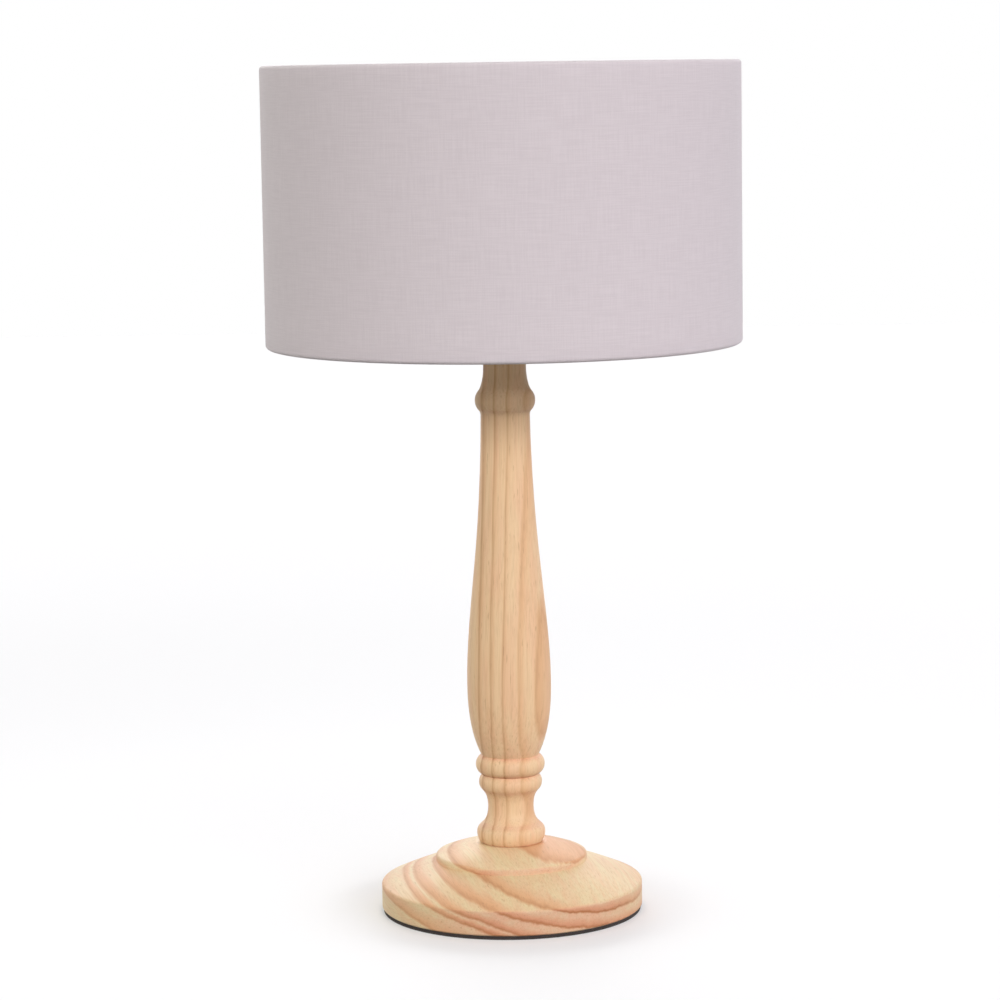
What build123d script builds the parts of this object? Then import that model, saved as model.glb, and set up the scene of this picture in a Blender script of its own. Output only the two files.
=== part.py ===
from build123d import *
import os

os.makedirs("parts", exist_ok=True)

# A table lamp: a turned wooden base and column, a push-bar lampholder on a
# threaded tube, a drum shade on a three-armed carrier and a candle bulb.
# Millimetres. +Z is up, +Y is the back. The origin is the centre of the
# underside, on the surface that the lamp stands on.

# ---------------------------------------------------------------- dimensions

# Pad under the base
pad_margin = 0.8
pad_thickness = 2.0

# Turned base: an upright side, a lower dome, a small step and an upper dome
base_radius = 69.6
base_side_height = 13.2
base_side_round = 1.6
base_foot_chamfer = 0.6
lower_dome_rise = 11.6
lower_dome_bulge = 0.4
step_radius = 40.3
step_height = 3.3
step_round = 1.7
upper_dome_rise = 6.3
upper_dome_bulge = 0.45
seat_margin = 0.9

# Turned column, from its foot up: foot, cove, two beads, vase, neck bead, throat
foot_radius = 18.1
foot_undercut = 1.7
foot_side_bulge = 0.75
foot_bottom_round = 1.1
foot_side_height = 6.6
waist_radius = 12.2
waist_height = 20.9
cove_height = 28.5
cove_lip_radius = 15.2
lower_bead_radius = 16.85
lower_bead_height = 8.2
bead_groove_radius = 15.0
upper_bead_radius = 18.4
upper_bead_height = 10.6
vase_groove_radius = 15.3
vase_height = 179.3
belly_radius = 22.3
belly_share = 0.228
neck_radius = 13.05
neck_cove_height = 5.7
neck_bead_lower_radius = 14.6
neck_bead_radius = 15.95
neck_bead_height = 9.3
neck_bead_upper_radius = 14.3
throat_radius = 11.3
throat_curve_height = 13.0
throat_height = 20.0
throat_chamfer = 0.8

# Threaded tube that ties the lamp together, with its nut and washers
tube_radius = 5.0
tube_wall = 1.2
tube_bore_clearance = 0.3
tube_top_margin = 0.5
tube_tail = 1.5
nut_wall = 2.0
nut_height = 5.0
nut_hole_clearance = 0.05
washer_margin = 2.5
washer_thickness = 1.5
counterbore_radius = 15.5
counterbore_depth = 14.0
top_washer_radius = 10.2
top_washer_thickness = 1.0

# Cord inlet: a bush in a hole drilled through the back of the base
inlet_rise = 6.5
bush_bore_radius = 3.1
bush_wall = 1.1
bush_clearance = 0.05
bush_length = 12.0
bush_flange_width = 1.15
bush_flange_thickness = 2.0
spot_face_clearance = 0.2
spot_face_depth = 1.0

# How far the cuts start outside the faces that they go through
cut_overshoot = 1.0

# Lampholder: a domed cap below and a threaded barrel above
boss_wall = 4.0
boss_height = 4.0
cap_margin = 0.5
cap_dome_height = 9.0
cap_dome_bulge = 2.8
cap_wall = 1.8
cap_floor = 8.0
cap_floor_radius = 12.0
cap_cavity_round_height = 6.0
cap_cavity_bulge = 1.8
spigot_length = 4.0
spigot_slot_margin = 1.35
spigot_clearance = 0.1
shoulder_width = 5.0
shoulder_thickness = 3.5
shoulder_round = 1.0
barrel_radius = 20.0
barrel_height = 35.5
barrel_wall = 2.4
barrel_lip_clearance = 0.8
barrel_lip_thickness = 3.0
barrel_chamfer = 0.8
thread_pitch = 2.5
thread_depth = 0.9
thread_run_out = 2.2
grub_radius = 1.5
grub_inset = 0.3
grub_clearance = 0.1
grub_socket_width = 1.5
grub_socket_depth = 1.5

# Switch: a square bar that is pushed through the cap from either side
bar_width = 5.0
bar_length = 52.0
bar_travel = 5.0
bar_floor_gap = 4.5
bar_clearance = 0.15
bar_end_round = 1.0
leaf_width = 4.0
leaf_span = 14.0
leaf_thickness = 0.6
leaf_gap = 1.2
leaf_foot_height = 0.6

# Inside of the lampholder
block_clearance = 0.3
block_thickness = 8.0
terminal_offset = 10.0
terminal_width = 6.0
terminal_depth = 6.0
terminal_wire_radius = 1.5
terminal_screw_radius = 1.5
terminal_head_radius = 2.4
terminal_head_height = 1.6
terminal_slot_width = 0.7
shell_clearance = 0.35
shell_wall = 0.65
shell_height = 23.0
shell_flange_width = 3.0
contact_thickness = 0.6
contact_width = 5.0
contact_root = 8.5
contact_tip = -2.0
contact_bend = 4.0
contact_rise = 2.9

# Ring that clamps the shade to the lampholder
ring_flange_width = 4.5
ring_flange_thickness = 2.4
ring_collar_wall = 3.9
ring_height = 7.0
ring_clearance = 0.1
ring_flute_count = 36
ring_flute_radius = 1.2
ring_flute_depth = 0.6

# Drum shade: cloth on a stiff liner, rolled over a wire at each rim
shade_radius = 125.0
shade_height = 146.5
fitting_recess = 22.8
cloth_thickness = 0.5
roll_clearance = 0.05
liner_thickness = 0.5
hem_width = 10.0
wire_radius = 1.5
carrier_clearance = 1.0
carrier_width = 6.0
carrier_thickness = 3.0
spoke_radius = 1.5
spoke_bend_radius = 7.0
spoke_count = 3
first_spoke_direction = 90.0
spoke_notch_clearance = 0.3

# Candle bulb with a screw cap
bulb_contact_gap = 0.3
bulb_tip_radius = 4.2
bulb_tip_height = 1.6
insulator_height = 3.2
insulator_radius = 9.5
bulb_thread_radius = 13.2
bulb_thread_depth = 1.0
bulb_thread_pitch = 3.6
bulb_thread_turns = 5
bulb_collar_height = 2.0
bulb_cap_wall = 0.5
glass_neck_clearance = 0.3
glass_neck_overlap = 1.2
glass_radius = 17.5
glass_height = 73.0
glass_wall = 0.8
glass_seat_clearance = 0.05
stem_flare_height = 1.2
stem_waist_height = 13.0
stem_height = 20.0
stem_radius = 2.6
filament_radius = 0.75
filament_length = 30.0
filament_ring_radius = 5.0
filament_count = 4
lead_radius = 0.35

# ------------------------------------------------------------- heights, fits

base_bottom_z = pad_thickness
pad_radius = base_radius - pad_margin
side_top_z = base_bottom_z + base_side_height
step_z = side_top_z + lower_dome_rise
step_top_z = step_z + step_height
seat_radius = foot_radius + seat_margin
seat_z = step_top_z + upper_dome_rise

foot_seat_radius = foot_radius - foot_undercut
foot_top_z = seat_z + foot_side_height
waist_z = seat_z + waist_height
lower_bead_z = seat_z + cove_height
upper_bead_z = lower_bead_z + lower_bead_height
vase_z = upper_bead_z + upper_bead_height
neck_z = vase_z + vase_height
neck_bead_z = neck_z + neck_cove_height
throat_z = neck_bead_z + neck_bead_height
throat_straight_z = throat_z + throat_curve_height
column_top_z = throat_z + throat_height

inlet_z = base_bottom_z + inlet_rise
counterbore_z = base_bottom_z + counterbore_depth
washer_z = counterbore_z - washer_thickness
washer_radius = counterbore_radius - washer_margin
nut_z = washer_z - nut_height
tube_bottom_z = nut_z - tube_tail
wood_bore_radius = tube_radius + tube_bore_clearance
nut_bore_radius = tube_radius + nut_hole_clearance
nut_width = 2 * (tube_radius + nut_wall)
inlet_hole_radius = bush_bore_radius + bush_wall + bush_clearance
bush_flange_radius = inlet_hole_radius + bush_flange_width
bush_outer_y = base_radius - spot_face_depth + bush_flange_thickness

holder_z = column_top_z + top_washer_thickness
boss_top_z = holder_z + boss_height
boss_radius = tube_radius + boss_wall
grub_z = holder_z + boss_height / 2
grub_y = tube_radius + grub_clearance
grub_length = boss_wall - grub_clearance - grub_inset
cap_floor_z = holder_z + cap_floor
cap_dome_z = boss_top_z + cap_dome_height
cap_radius = barrel_radius + cap_margin
cap_bore_radius = cap_radius - cap_wall
tube_top_z = cap_floor_z - tube_top_margin
bar_z = cap_floor_z + bar_floor_gap + bar_width / 2
bar_top_z = bar_z + bar_width / 2
spigot_z = bar_top_z + bar_clearance + spigot_slot_margin
cap_top_z = spigot_z + spigot_length
barrel_bore_radius = barrel_radius - barrel_wall
barrel_top_z = cap_top_z + barrel_height
shoulder_z = cap_top_z + shoulder_thickness
shoulder_radius = barrel_radius + shoulder_width
leaf_z = bar_top_z + leaf_gap
block_z = leaf_z + leaf_thickness + leaf_foot_height
block_top_z = block_z + block_thickness
block_radius = barrel_bore_radius - block_clearance
terminal_z = block_z - terminal_depth
terminal_screw_z = block_z - terminal_depth / 2
terminal_face_y = terminal_offset + terminal_width / 2
shell_inner_radius = bulb_thread_radius + shell_clearance
shell_radius = shell_inner_radius + shell_wall
barrel_lip_radius = shell_radius + barrel_lip_clearance
thread_z = shoulder_z + thread_run_out
thread_turns = int((barrel_top_z - thread_run_out - thread_z) / thread_pitch)

carrier_bore_radius = barrel_radius + carrier_clearance
carrier_radius = carrier_bore_radius + carrier_width
ring_z = shoulder_z + carrier_thickness
ring_bore_radius = barrel_radius + ring_clearance
ring_collar_radius = ring_bore_radius + ring_collar_wall
ring_flange_radius = ring_collar_radius + ring_flange_width
shade_bottom_z = shoulder_z - fitting_recess
shade_top_z = shade_bottom_z + shade_height
roll_bore_radius = wire_radius + roll_clearance
roll_radius = roll_bore_radius + cloth_thickness
wire_ring_radius = shade_radius - roll_radius
bottom_wire_z = shade_bottom_z + roll_radius
top_wire_z = shade_top_z - roll_radius
liner_radius = shade_radius - cloth_thickness
liner_inner_radius = liner_radius - liner_thickness
hem_inner_radius = liner_inner_radius - cloth_thickness
spoke_leg_radius = wire_ring_radius - wire_radius - spoke_radius
spoke_z = shoulder_z + carrier_thickness / 2

bulb_z = block_top_z + contact_rise + bulb_contact_gap
insulator_z = bulb_z + bulb_tip_height
bulb_cap_z = insulator_z + insulator_height
bulb_thread_z = bulb_cap_z + bulb_thread_depth
bulb_collar_z = bulb_thread_z + bulb_thread_turns * bulb_thread_pitch
thread_root_radius = bulb_thread_radius - bulb_thread_depth
glass_z = bulb_collar_z + bulb_thread_depth + bulb_collar_height
glass_bottom_z = glass_z - glass_neck_overlap
glass_top_z = glass_z + glass_height
glass_neck_radius = bulb_thread_radius - bulb_cap_wall - glass_neck_clearance
stem_base_radius = glass_neck_radius - glass_wall - glass_seat_clearance
stem_top_z = glass_bottom_z + stem_height
filament_z = glass_bottom_z + stem_waist_height
filament_top_z = filament_z + filament_length


def between(low, high, share):
    """A value that lies the given share of the way from low to high."""
    return low + (high - low) * share


def ring(inner_radius, outer_radius, low_z, high_z):
    """Sketch rectangle on the XZ plane that revolves to a plain round ring."""
    with Locations((inner_radius, low_z)):
        Rectangle(outer_radius - inner_radius, high_z - low_z, align=(Align.MIN, Align.MIN))


def corner(sketch, radius, height):
    """The corner of a revolved section that lies nearest to a radius and height."""
    return sketch.vertices().sort_by_distance((radius, height, 0))[0]


# ----------------------------------------------------------------- the base

with BuildPart() as base_pad:
    with BuildSketch(Plane.XY):
        Circle(pad_radius)
    extrude(amount=pad_thickness)
base_pad.part.label = "base_pad"
export_step(base_pad.part, "parts/base_pad.step")

with BuildPart() as base:
    with BuildSketch(Plane.XZ) as base_section:
        with BuildLine():
            Polyline((0, seat_z), (0, base_bottom_z), (base_radius, base_bottom_z), (base_radius, side_top_z))
            SagittaArc((base_radius, side_top_z), (step_radius, step_z), -lower_dome_bulge)
            Line((step_radius, step_z), (step_radius, step_top_z))
            SagittaArc((step_radius, step_top_z), (seat_radius, seat_z), -upper_dome_bulge)
            Line((seat_radius, seat_z), (0, seat_z))
        make_face()
        # the turned corners are eased
        fillet(corner(base_section, base_radius, side_top_z), radius=base_side_round)
        fillet(corner(base_section, step_radius, step_top_z), radius=step_round)
        chamfer(corner(base_section, base_radius, base_bottom_z), length=base_foot_chamfer)
    revolve(axis=Axis.Z)
    # bore for the tube, opened out below for the washer and nut
    with Locations(Plane((0, 0, base_bottom_z), z_dir=(0, 0, -1))):
        CounterBoreHole(wood_bore_radius, counterbore_radius, counterbore_depth)
    # cord hole from the back into the counterbore, with a flat spot face
    with BuildSketch(Plane.XZ.offset(-base_radius - cut_overshoot)):
        with Locations((0, inlet_z)):
            Circle(inlet_hole_radius)
    extrude(amount=base_radius + cut_overshoot, mode=Mode.SUBTRACT)
    with BuildSketch(Plane.XZ.offset(-base_radius - cut_overshoot)):
        with Locations((0, inlet_z)):
            Circle(bush_flange_radius + spot_face_clearance)
    extrude(amount=cut_overshoot + spot_face_depth, mode=Mode.SUBTRACT)
base.part.label = "base"
export_step(base.part, "parts/base.step")

with BuildPart() as base_washer:
    with BuildSketch(Plane.XY.offset(washer_z)):
        Circle(washer_radius)
        Circle(nut_bore_radius, mode=Mode.SUBTRACT)
    extrude(amount=washer_thickness)
base_washer.part.label = "base_washer"
export_step(base_washer.part, "parts/base_washer.step")

with BuildPart() as base_nut:
    with BuildSketch(Plane.XY.offset(nut_z)):
        RegularPolygon(nut_width / 2, 6, major_radius=False)
        Circle(nut_bore_radius, mode=Mode.SUBTRACT)
    extrude(amount=nut_height)
base_nut.part.label = "base_nut"
export_step(base_nut.part, "parts/base_nut.step")

with BuildPart() as cord_bush:
    with BuildSketch(Plane.XZ.offset(-bush_outer_y)):
        with Locations((0, inlet_z)):
            Circle(bush_flange_radius)
    extrude(amount=bush_flange_thickness)
    with BuildSketch(Plane.XZ.offset(-bush_outer_y)):
        with Locations((0, inlet_z)):
            Circle(inlet_hole_radius - bush_clearance)
    extrude(amount=bush_flange_thickness + bush_length)
    with BuildSketch(Plane.XZ.offset(-bush_outer_y)):
        with Locations((0, inlet_z)):
            Circle(bush_bore_radius)
    extrude(amount=bush_flange_thickness + bush_length, mode=Mode.SUBTRACT)
cord_bush.part.label = "cord_bush"
export_step(cord_bush.part, "parts/cord_bush.step")

# --------------------------------------------------------------- the column


def cove_point(height_share, radius_share):
    """Point on the cove between the foot and the waist."""
    return (
        between(waist_radius, foot_radius, radius_share),
        between(foot_top_z, waist_z, height_share),
    )


def vase_point(height_share, swell):
    """Point on the vase, where swell runs from 0 at the neck to 1 at the belly."""
    return (
        between(neck_radius, belly_radius, swell),
        between(vase_z, neck_z, height_share),
    )


with BuildPart() as column:
    with BuildSketch(Plane.XZ) as column_section:
        with BuildLine():
            Line((0, seat_z), (foot_seat_radius, seat_z))
            SagittaArc((foot_seat_radius, seat_z), (foot_radius, foot_top_z), -foot_side_bulge)
            Spline(
                (foot_radius, foot_top_z),
                cove_point(0.175, 0.75),
                cove_point(0.30, 0.42),
                cove_point(0.53, 0.11),
                (waist_radius, waist_z),
                (between(waist_radius, cove_lip_radius, 0.23), between(waist_z, lower_bead_z, 0.51)),
                (cove_lip_radius, lower_bead_z),
            )
            ThreePointArc(
                (cove_lip_radius, lower_bead_z),
                (lower_bead_radius, lower_bead_z + lower_bead_height / 2),
                (bead_groove_radius, upper_bead_z),
            )
            ThreePointArc(
                (bead_groove_radius, upper_bead_z),
                (upper_bead_radius, upper_bead_z + upper_bead_height / 2),
                (vase_groove_radius, vase_z),
            )
            Spline(
                (vase_groove_radius, vase_z),
                vase_point(0.0375, 0.546),
                vase_point(0.099, 0.838),
                vase_point(belly_share, 1),
                vase_point(0.37, 0.865),
                vase_point(0.49, 0.645),
                vase_point(0.64, 0.355),
                vase_point(0.79, 0.145),
                vase_point(0.91, 0.04),
                (neck_radius, neck_z),
            )
            Spline(
                (neck_radius, neck_z),
                (between(neck_radius, neck_bead_lower_radius, 0.25), neck_z + neck_cove_height * 0.75),
                (neck_bead_lower_radius, neck_bead_z),
                tangents=((0, 1), (1, 1)),
            )
            ThreePointArc(
                (neck_bead_lower_radius, neck_bead_z),
                (neck_bead_radius, neck_bead_z + neck_bead_height / 2),
                (neck_bead_upper_radius, throat_z),
            )
            Spline(
                (neck_bead_upper_radius, throat_z),
                (between(throat_radius, neck_bead_upper_radius, 0.40), throat_z + throat_curve_height * 0.28),
                (throat_radius, throat_straight_z),
                tangents=((-1, 1), (0, 1)),
            )
            Polyline(
                (throat_radius, throat_straight_z),
                (throat_radius, column_top_z),
                (0, column_top_z),
                (0, seat_z),
            )
        make_face()
        fillet(corner(column_section, foot_seat_radius, seat_z), radius=foot_bottom_round)
        chamfer(corner(column_section, throat_radius, column_top_z), length=throat_chamfer)
    revolve(axis=Axis.Z)
    with Locations((0, 0, column_top_z)):
        Hole(wood_bore_radius)
column.part.label = "column"
export_step(column.part, "parts/column.step")

with BuildPart() as threaded_tube:
    with BuildSketch(Plane.XY.offset(tube_bottom_z)):
        Circle(tube_radius)
        Circle(tube_radius - tube_wall, mode=Mode.SUBTRACT)
    extrude(amount=tube_top_z - tube_bottom_z)
threaded_tube.part.label = "threaded_tube"
export_step(threaded_tube.part, "parts/threaded_tube.step")

with BuildPart() as top_washer:
    with BuildSketch(Plane.XY.offset(column_top_z)):
        Circle(top_washer_radius)
        Circle(nut_bore_radius, mode=Mode.SUBTRACT)
    extrude(amount=top_washer_thickness)
top_washer.part.label = "top_washer"
export_step(top_washer.part, "parts/top_washer.step")

# ----------------------------------------------------------- the lampholder

with BuildPart() as holder_cap:
    with BuildSketch(Plane.XZ):
        with BuildLine():
            Polyline((0, cap_top_z), (0, holder_z), (boss_radius, holder_z), (boss_radius, boss_top_z))
            SagittaArc((boss_radius, boss_top_z), (cap_radius, cap_dome_z), -cap_dome_bulge)
            Polyline((cap_radius, cap_dome_z), (cap_radius, cap_top_z), (0, cap_top_z))
        make_face()
    revolve(axis=Axis.Z)
    # hollow above the floor, with a rounded corner
    with BuildSketch(Plane.XZ):
        with BuildLine():
            Polyline((0, cap_top_z), (0, cap_floor_z), (cap_floor_radius, cap_floor_z))
            SagittaArc(
                (cap_floor_radius, cap_floor_z),
                (cap_bore_radius, cap_floor_z + cap_cavity_round_height),
                -cap_cavity_bulge,
            )
            Polyline(
                (cap_bore_radius, cap_floor_z + cap_cavity_round_height),
                (cap_bore_radius, cap_top_z),
                (0, cap_top_z),
            )
        make_face()
    revolve(axis=Axis.Z, mode=Mode.SUBTRACT)
    with Locations((0, 0, cap_floor_z)):
        Hole(nut_bore_radius, depth=cap_floor)
    # square slots for the switch bar, through both sides
    with BuildSketch(Plane.YZ):
        with Locations((0, bar_z)):
            Rectangle(bar_width + 2 * bar_clearance, bar_width + 2 * bar_clearance)
    extrude(amount=cap_radius + cut_overshoot, both=True, mode=Mode.SUBTRACT)
    # hole for the grub screw, in the back of the boss
    with BuildSketch(Plane.XZ):
        with Locations((0, grub_z)):
            Circle(grub_radius + nut_hole_clearance)
    extrude(amount=-boss_radius - cut_overshoot, mode=Mode.SUBTRACT)
holder_cap.part.label = "holder_cap"
export_step(holder_cap.part, "parts/holder_cap.step")

with BuildPart() as grub_screw:
    with BuildSketch(Plane.XZ.offset(-grub_y)):
        with Locations((0, grub_z)):
            Circle(grub_radius)
    extrude(amount=-grub_length)
    with BuildSketch(Plane.XZ.offset(-grub_y - grub_length)):
        with Locations((0, grub_z)):
            RegularPolygon(grub_socket_width / 2, 6, major_radius=False)
    extrude(amount=grub_socket_depth, mode=Mode.SUBTRACT)
grub_screw.part.label = "grub_screw"
export_step(grub_screw.part, "parts/grub_screw.step")

with BuildPart() as holder_barrel:
    with BuildSketch(Plane.XZ) as barrel_section:
        ring(barrel_bore_radius, cap_bore_radius - spigot_clearance, spigot_z, cap_top_z)
        ring(barrel_bore_radius, shoulder_radius, cap_top_z, shoulder_z)
        ring(barrel_bore_radius, barrel_radius, shoulder_z, barrel_top_z)
        ring(barrel_lip_radius, barrel_bore_radius, barrel_top_z - barrel_lip_thickness, barrel_top_z)
        fillet(corner(barrel_section, shoulder_radius, cap_top_z), radius=shoulder_round)
        chamfer(corner(barrel_section, barrel_radius, barrel_top_z), length=barrel_chamfer)
    revolve(axis=Axis.Z)
    # thread on the barrel, drawn as closed grooves
    with BuildSketch(Plane.XZ):
        for turn in range(thread_turns):
            groove_z = thread_z + turn * thread_pitch
            with BuildLine():
                Polyline(
                    (barrel_radius, groove_z - thread_pitch / 3),
                    (barrel_radius - thread_depth, groove_z),
                    (barrel_radius, groove_z + thread_pitch / 3),
                    close=True,
                )
            make_face()
    revolve(axis=Axis.Z, mode=Mode.SUBTRACT)
holder_barrel.part.label = "holder_barrel"
export_step(holder_barrel.part, "parts/holder_barrel.step")

# The bar rests pushed to the left, with half of its travel on each side
with BuildPart() as switch_bar:
    with BuildSketch(Plane.YZ.offset(-bar_travel / 2 - bar_length / 2)):
        with Locations((0, bar_z)):
            Rectangle(bar_width, bar_width)
    extrude(amount=bar_length)
    bar_ends = switch_bar.faces().filter_by(Axis.X)
    fillet(bar_ends.edges(), radius=bar_end_round)
switch_bar.part.label = "switch_bar"
export_step(switch_bar.part, "parts/switch_bar.step")

with BuildPart() as switch_leaf:
    with BuildSketch(Plane.XZ.offset(-leaf_width / 2)):
        with Locations((0, leaf_z)):
            Rectangle(leaf_span, leaf_thickness, align=(Align.CENTER, Align.MIN))
        with GridLocations(leaf_span - leaf_thickness, 1, 2, 1):
            with Locations((0, leaf_z)):
                Rectangle(leaf_thickness, block_z - leaf_z, align=(Align.CENTER, Align.MIN))
    extrude(amount=leaf_width)
switch_leaf.part.label = "switch_leaf"
export_step(switch_leaf.part, "parts/switch_leaf.step")

with BuildPart() as terminal_block:
    with BuildSketch(Plane.XY.offset(block_z)):
        Circle(block_radius)
    extrude(amount=block_thickness)
    block_rim = terminal_block.edges().filter_by(GeomType.CIRCLE).group_by(Axis.Z)[-1]
    chamfer(block_rim, length=block_clearance)
terminal_block.part.label = "terminal_block"
export_step(terminal_block.part, "parts/terminal_block.step")

with BuildPart() as terminals:
    with BuildSketch(Plane.XY.offset(terminal_z)):
        with GridLocations(1, 2 * terminal_offset, 1, 2):
            Rectangle(terminal_width, terminal_width)
    extrude(amount=terminal_depth)
    # one blind hole for each wire from below, and one across for its screw
    with BuildSketch(Plane.XY.offset(terminal_z)):
        with GridLocations(1, 2 * terminal_offset, 1, 2):
            Circle(terminal_wire_radius)
    extrude(amount=terminal_depth / 2, mode=Mode.SUBTRACT)
    with BuildSketch(Plane.XZ):
        with Locations((0, terminal_screw_z)):
            Circle(terminal_screw_radius + nut_hole_clearance)
    extrude(amount=terminal_offset + terminal_width, both=True, mode=Mode.SUBTRACT)
terminals.part.label = "terminals"
export_step(terminals.part, "parts/terminals.step")

with BuildPart() as terminal_screws:
    for side in (-1, 1):
        with BuildSketch(Plane.XZ.offset(side * terminal_offset)):
            with Locations((0, terminal_screw_z)):
                Circle(terminal_screw_radius)
        extrude(amount=side * terminal_width / 2)
        with BuildSketch(Plane.XZ.offset(side * terminal_face_y)):
            with Locations((0, terminal_screw_z)):
                Circle(terminal_head_radius)
        extrude(amount=side * terminal_head_height)
        with BuildSketch(Plane.XZ.offset(side * (terminal_face_y + terminal_head_height))):
            with Locations((0, terminal_screw_z)):
                Rectangle(2 * terminal_head_radius, terminal_slot_width)
        extrude(amount=-side * terminal_slot_width, mode=Mode.SUBTRACT)
terminal_screws.part.label = "terminal_screws"
export_step(terminal_screws.part, "parts/terminal_screws.step")

with BuildPart() as screw_shell:
    with BuildSketch(Plane.XZ):
        ring(shell_inner_radius, shell_radius, block_top_z, block_top_z + shell_height)
        ring(shell_radius - shell_flange_width, shell_radius, block_top_z, block_top_z + shell_wall)
    revolve(axis=Axis.Z)
screw_shell.part.label = "screw_shell"
export_step(screw_shell.part, "parts/screw_shell.step")

with BuildPart() as centre_contact:
    with BuildSketch(Plane.XZ.offset(-contact_width / 2)):
        with BuildLine():
            Polyline(
                (contact_root, block_top_z),
                (contact_root, block_top_z + contact_thickness),
                (contact_bend, block_top_z + contact_thickness),
                (-contact_tip, block_top_z + contact_rise),
                (contact_tip, block_top_z + contact_rise),
                (contact_tip, block_top_z + contact_rise - contact_thickness),
                (-contact_tip, block_top_z + contact_rise - contact_thickness),
                (contact_bend, block_top_z),
                close=True,
            )
        make_face()
    extrude(amount=contact_width)
centre_contact.part.label = "centre_contact"
export_step(centre_contact.part, "parts/centre_contact.step")

with BuildPart() as shade_ring:
    with BuildSketch(Plane.XZ):
        ring(ring_bore_radius, ring_flange_radius, ring_z, ring_z + ring_flange_thickness)
        ring(ring_bore_radius, ring_collar_radius, ring_z, ring_z + ring_height)
    revolve(axis=Axis.Z)
    with BuildSketch(Plane.XY.offset(ring_z)):
        with PolarLocations(ring_flange_radius + ring_flute_radius - ring_flute_depth, ring_flute_count):
            Circle(ring_flute_radius)
    extrude(amount=ring_flange_thickness, mode=Mode.SUBTRACT)
shade_ring.part.label = "shade_ring"
export_step(shade_ring.part, "parts/shade_ring.step")

# ---------------------------------------------------------------- the shade

with BuildPart() as carrier_ring:
    with BuildSketch(Plane.XY.offset(shoulder_z)):
        Circle(carrier_radius)
        Circle(carrier_bore_radius, mode=Mode.SUBTRACT)
    extrude(amount=carrier_thickness)
carrier_ring.part.label = "carrier_ring"
export_step(carrier_ring.part, "parts/carrier_ring.step")

# Each spoke runs out level from the carrier ring, bends down and ends beside
# the bottom wire. The first spoke points to the back.
with BuildPart() as spider_spokes:
    for index in range(spoke_count):
        direction = first_spoke_direction + index * 360 / spoke_count
        with BuildLine(Plane.XZ.rotated((0, 0, direction))):
            spoke_path = FilletPolyline(
                (carrier_bore_radius + spoke_radius, spoke_z),
                (spoke_leg_radius, spoke_z),
                (spoke_leg_radius, bottom_wire_z),
                radius=spoke_bend_radius,
            )
        with BuildSketch(Plane(origin=spoke_path @ 0, z_dir=spoke_path % 0)):
            Circle(spoke_radius)
        sweep(path=spoke_path)
    # the spokes are welded to the outside of the ring
    with BuildSketch(Plane.XY.offset(shoulder_z - cut_overshoot)):
        Circle(carrier_radius)
    extrude(amount=carrier_thickness + 2 * cut_overshoot, mode=Mode.SUBTRACT)
spider_spokes.part.label = "spider_spokes"
export_step(spider_spokes.part, "parts/spider_spokes.step")


def rim_wire(height):
    """Sketch the section of a rim wire at the given height, on the XZ plane."""
    with Locations((wire_ring_radius, height)):
        Circle(wire_radius)


with BuildPart() as bottom_wire:
    with BuildSketch(Plane.XZ):
        rim_wire(bottom_wire_z)
    revolve(axis=Axis.Z)
bottom_wire.part.label = "bottom_wire"
export_step(bottom_wire.part, "parts/bottom_wire.step")

with BuildPart() as top_wire:
    with BuildSketch(Plane.XZ):
        rim_wire(top_wire_z)
    revolve(axis=Axis.Z)
top_wire.part.label = "top_wire"
export_step(top_wire.part, "parts/top_wire.step")

with BuildPart() as shade_liner:
    with BuildSketch(Plane.XZ):
        ring(
            liner_inner_radius,
            liner_radius,
            bottom_wire_z + roll_radius,
            top_wire_z - roll_radius,
        )
    revolve(axis=Axis.Z)
shade_liner.part.label = "shade_liner"
export_step(shade_liner.part, "parts/shade_liner.step")

# The cloth covers the outside, rolls round each wire and ends in a hem that
# is glued to the inside of the liner. It is notched where a spoke meets the wire.
with BuildPart() as shade_cloth:
    with BuildSketch(Plane.XZ):
        ring(liner_radius, shade_radius, bottom_wire_z, top_wire_z)
        ring(hem_inner_radius, liner_inner_radius, bottom_wire_z, shade_bottom_z + hem_width)
        ring(hem_inner_radius, liner_inner_radius, shade_top_z - hem_width, top_wire_z)
        with Locations((wire_ring_radius, bottom_wire_z), (wire_ring_radius, top_wire_z)):
            Circle(roll_radius)
            Circle(roll_bore_radius, mode=Mode.SUBTRACT)
    revolve(axis=Axis.Z)
    with BuildSketch(Plane.XY.offset(bottom_wire_z - spoke_notch_clearance)):
        with PolarLocations(spoke_leg_radius, spoke_count, start_angle=first_spoke_direction):
            Circle(spoke_radius + spoke_notch_clearance)
    extrude(amount=hem_width, mode=Mode.SUBTRACT)
shade_cloth.part.label = "shade_cloth"
export_step(shade_cloth.part, "parts/shade_cloth.step")

# ----------------------------------------------------------------- the bulb

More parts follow.
